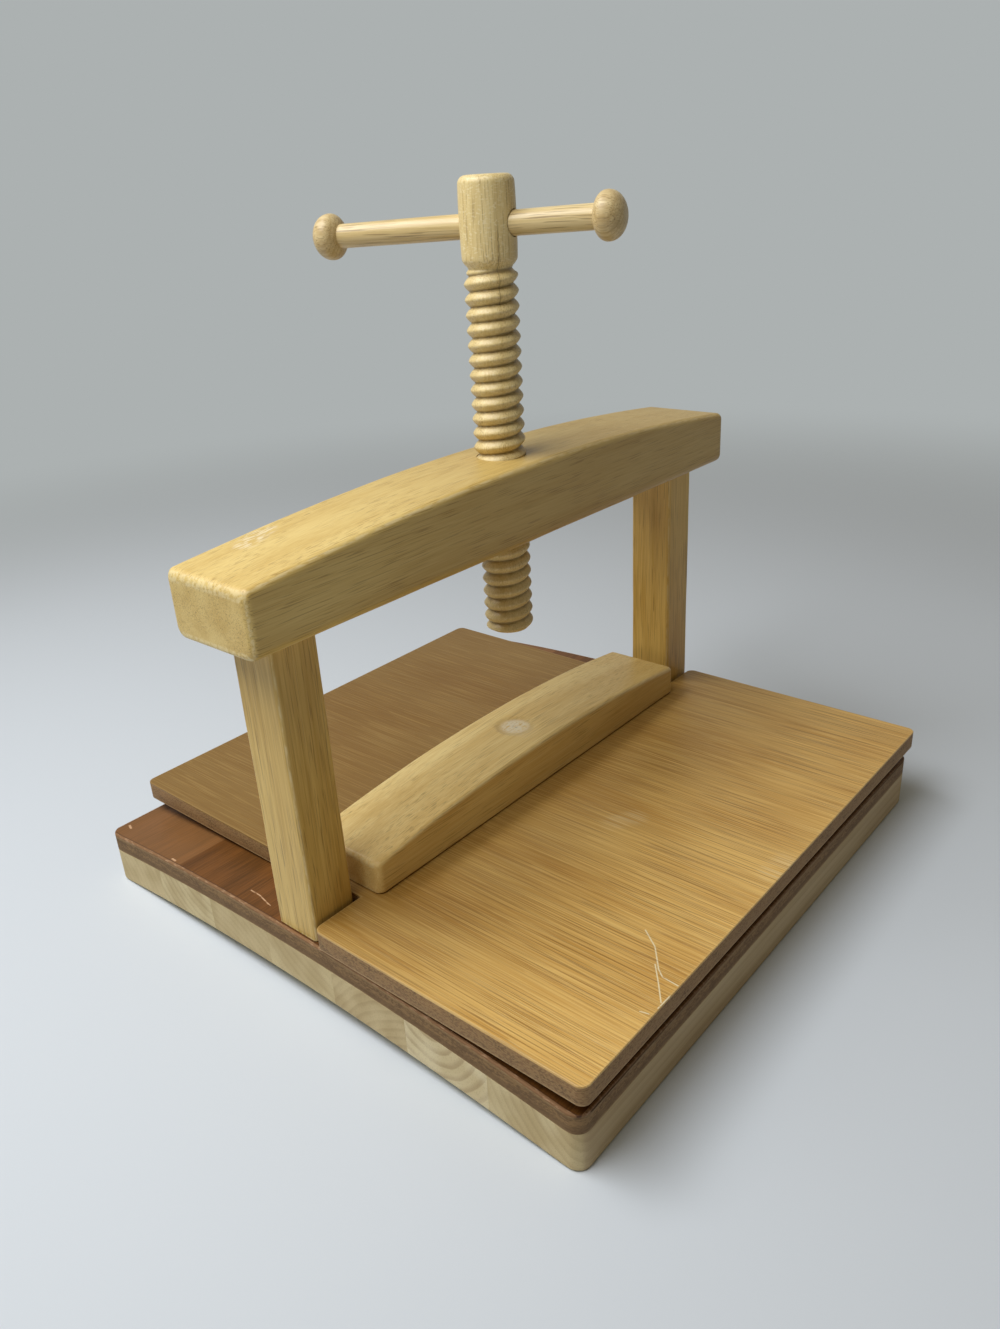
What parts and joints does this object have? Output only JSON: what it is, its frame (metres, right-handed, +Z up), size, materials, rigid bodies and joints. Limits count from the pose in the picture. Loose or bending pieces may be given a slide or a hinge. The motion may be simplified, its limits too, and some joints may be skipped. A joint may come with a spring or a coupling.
{
  "type": "flower press",
  "caption": "Wooden tabletop flower press: bowed base, posts, arched beam, wooden screw with a sliding cross bar, and a lifting press board with a spreader bar on top.",
  "frame": {"origin": "on the table, at the bottom centre of the bounding box, under the press screw's axis", "axes": "+Z up along the press screw, +X along the beam from the left post to the right post, -Y towards the open front where the board is wide"},
  "size_m": [0.3254, 0.3014, 0.321],
  "materials": {
    "pine_strips": "sanded, unfinished pine",
    "fibre_panel": "brown fibre board, sanded edge",
    "red_brown_veneer": "worn satin veneer",
    "golden_veneer": "satin veneer",
    "frame_hardwood": "lacquered hardwood",
    "turned_hardwood": "lacquered, turned hardwood",
    "fastener_steel": "plain zinc-plated steel"
  },
  "bodies": {
    "frame_body": {"base_strip_1": "pine_strips", "base_strip_2": "pine_strips", "base_strip_3": "pine_strips", "base_strip_4": "pine_strips", "base_strip_5": "pine_strips", "base_strip_6": "pine_strips", "base_strip_7": "pine_strips", "base_panel": "fibre_panel", "base_face": "red_brown_veneer", "left_post": "frame_hardwood", "right_post": "frame_hardwood", "left_post_dowel": "frame_hardwood", "right_post_dowel": "frame_hardwood", "left_post_screw_1": "fastener_steel", "left_post_screw_2": "fastener_steel", "right_post_screw_1": "fastener_steel", "right_post_screw_2": "fastener_steel", "beam": "frame_hardwood"},
    "board_body": {"press_board_back": "fibre_panel", "press_board_core": "fibre_panel", "press_board_face": "golden_veneer", "spreader_bar": "frame_hardwood", "spreader_screw_1": "fastener_steel", "spreader_screw_2": "fastener_steel", "spreader_screw_3": "fastener_steel"},
    "thrust_body": {"thrust_pin": "fastener_steel"},
    "screw_body": {"press_screw": "turned_hardwood"},
    "tommy_body": {"tommy_bar": "turned_hardwood", "front_knob": "turned_hardwood", "back_knob": "turned_hardwood"}
  },
  "joints": [
    {"name": "board_lift", "type": "slide", "parent": "frame_body", "child": "board_body", "axis": [0, 0, 1], "range_m": [0, 0.03]},
    {"name": "screw_travel", "type": "slide", "parent": "frame_body", "child": "thrust_body", "axis": [0, 0, 1], "range_m": [-0.025, 0.04375]},
    {"name": "screw_turn", "type": "hinge", "parent": "thrust_body", "child": "screw_body", "pos_m": [0, 0, 0.1226], "axis": [0, 0, 1], "range_deg": [-1441, 2521]},
    {"name": "tommy_slide", "type": "slide", "parent": "screw_body", "child": "tommy_body", "axis": [0.2923, -0.956, 0.0262], "range_m": [-0.0333, 0.0569]}
  ],
  "couplings": [
    {"joint": "screw_turn", "follows": "screw_travel", "rad_per_m": 1005.3}
  ]
}
